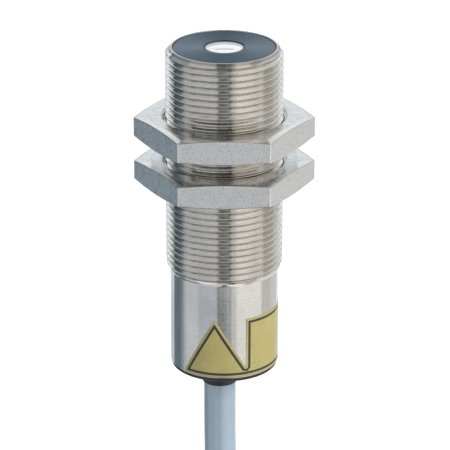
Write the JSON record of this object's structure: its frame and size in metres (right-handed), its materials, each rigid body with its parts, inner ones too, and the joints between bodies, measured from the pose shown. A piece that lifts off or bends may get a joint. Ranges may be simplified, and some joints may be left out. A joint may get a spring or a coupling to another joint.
{
  "type": "laser through-beam sensor",
  "caption": "Cylindrical laser through-beam sensor: threaded steel sleeve with hexagon nuts, lens in its front and a cable at the rear.",
  "frame": {"origin": "on the sleeve's axis, in the middle of the thread crest just in front of the front nut", "axes": "+Z along the beam, out of the lens; -Y towards the side with the sticker's triangle; the nuts' flats face +Y and -Y"},
  "size_m": [0.0474, 0.031, 0.209],
  "materials": {
    "sleeve_steel": "satin",
    "nut_steel": "satin",
    "plate_grey": "satin",
    "seal_rubber": "matte",
    "lens_glass": "polished",
    "black_plastic": "matte",
    "dark_steel": "matte",
    "gilt_metal": "polished",
    "screw_steel": "satin",
    "board_green": "satin",
    "chip_black": "matte",
    "tin": "satin",
    "can_aluminium": "satin",
    "ceramic_tan": "matte",
    "ferrite": "matte",
    "foil_amber": "gloss",
    "core_brown": "satin",
    "core_blue": "satin",
    "core_black": "satin",
    "cap_plastic": "satin",
    "brass": "satin",
    "cable_jacket": "satin",
    "tie_nylon": "satin"
  },
  "bodies": {
    "sensor": {"housing": "sleeve_steel", "front_plate": "plate_grey", "front_gasket": "seal_rubber", "lens": "lens_glass", "lens_seal": "seal_rubber", "optics_barrel": "black_plastic", "barrel_seal": "seal_rubber", "aperture_disc": "dark_steel", "laser_diode": "gilt_metal", "diode_window": "lens_glass", "diode_leads": "gilt_metal", "diode_holder": "black_plastic", "holder_screws": "screw_steel", "circuit_board": "board_green", "driver_chip": "chip_black", "voltage_regulator": "chip_black", "chip_legs": "tin", "electrolytic_capacitor": "can_aluminium", "ceramic_capacitors": "ceramic_tan", "resistors": "chip_black", "choke": "ferrite", "suppressor_diode": "chip_black", "solder_joints": "tin", "insulating_sleeve": "foil_amber", "core_brown": "core_brown", "core_blue": "core_blue", "core_black": "core_black", "rear_cap": "cap_plastic", "cap_seal": "seal_rubber", "cable_seal": "seal_rubber", "crimp_ring": "brass", "cable_root": "cable_jacket", "cable": "cable_jacket", "cable_hank": "cable_jacket", "tie_left": "tie_nylon", "tie_right": "tie_nylon", "lead_brown": "core_brown", "lead_blue": "core_blue", "lead_black": "core_black", "lead_tips": "tin"},
    "front_nut": {"front_nut": "nut_steel"},
    "rear_nut": {"rear_nut": "nut_steel"}
  },
  "joints": [
    {"name": "front_nut_travel", "type": "slide", "parent": "sensor", "child": "front_nut", "axis": [0, 0, 1], "range_m": [-0.0013, 0.009]},
    {"name": "rear_nut_travel", "type": "slide", "parent": "sensor", "child": "rear_nut", "axis": [0, 0, 1], "range_m": [-0.012, 0.0013]}
  ]
}
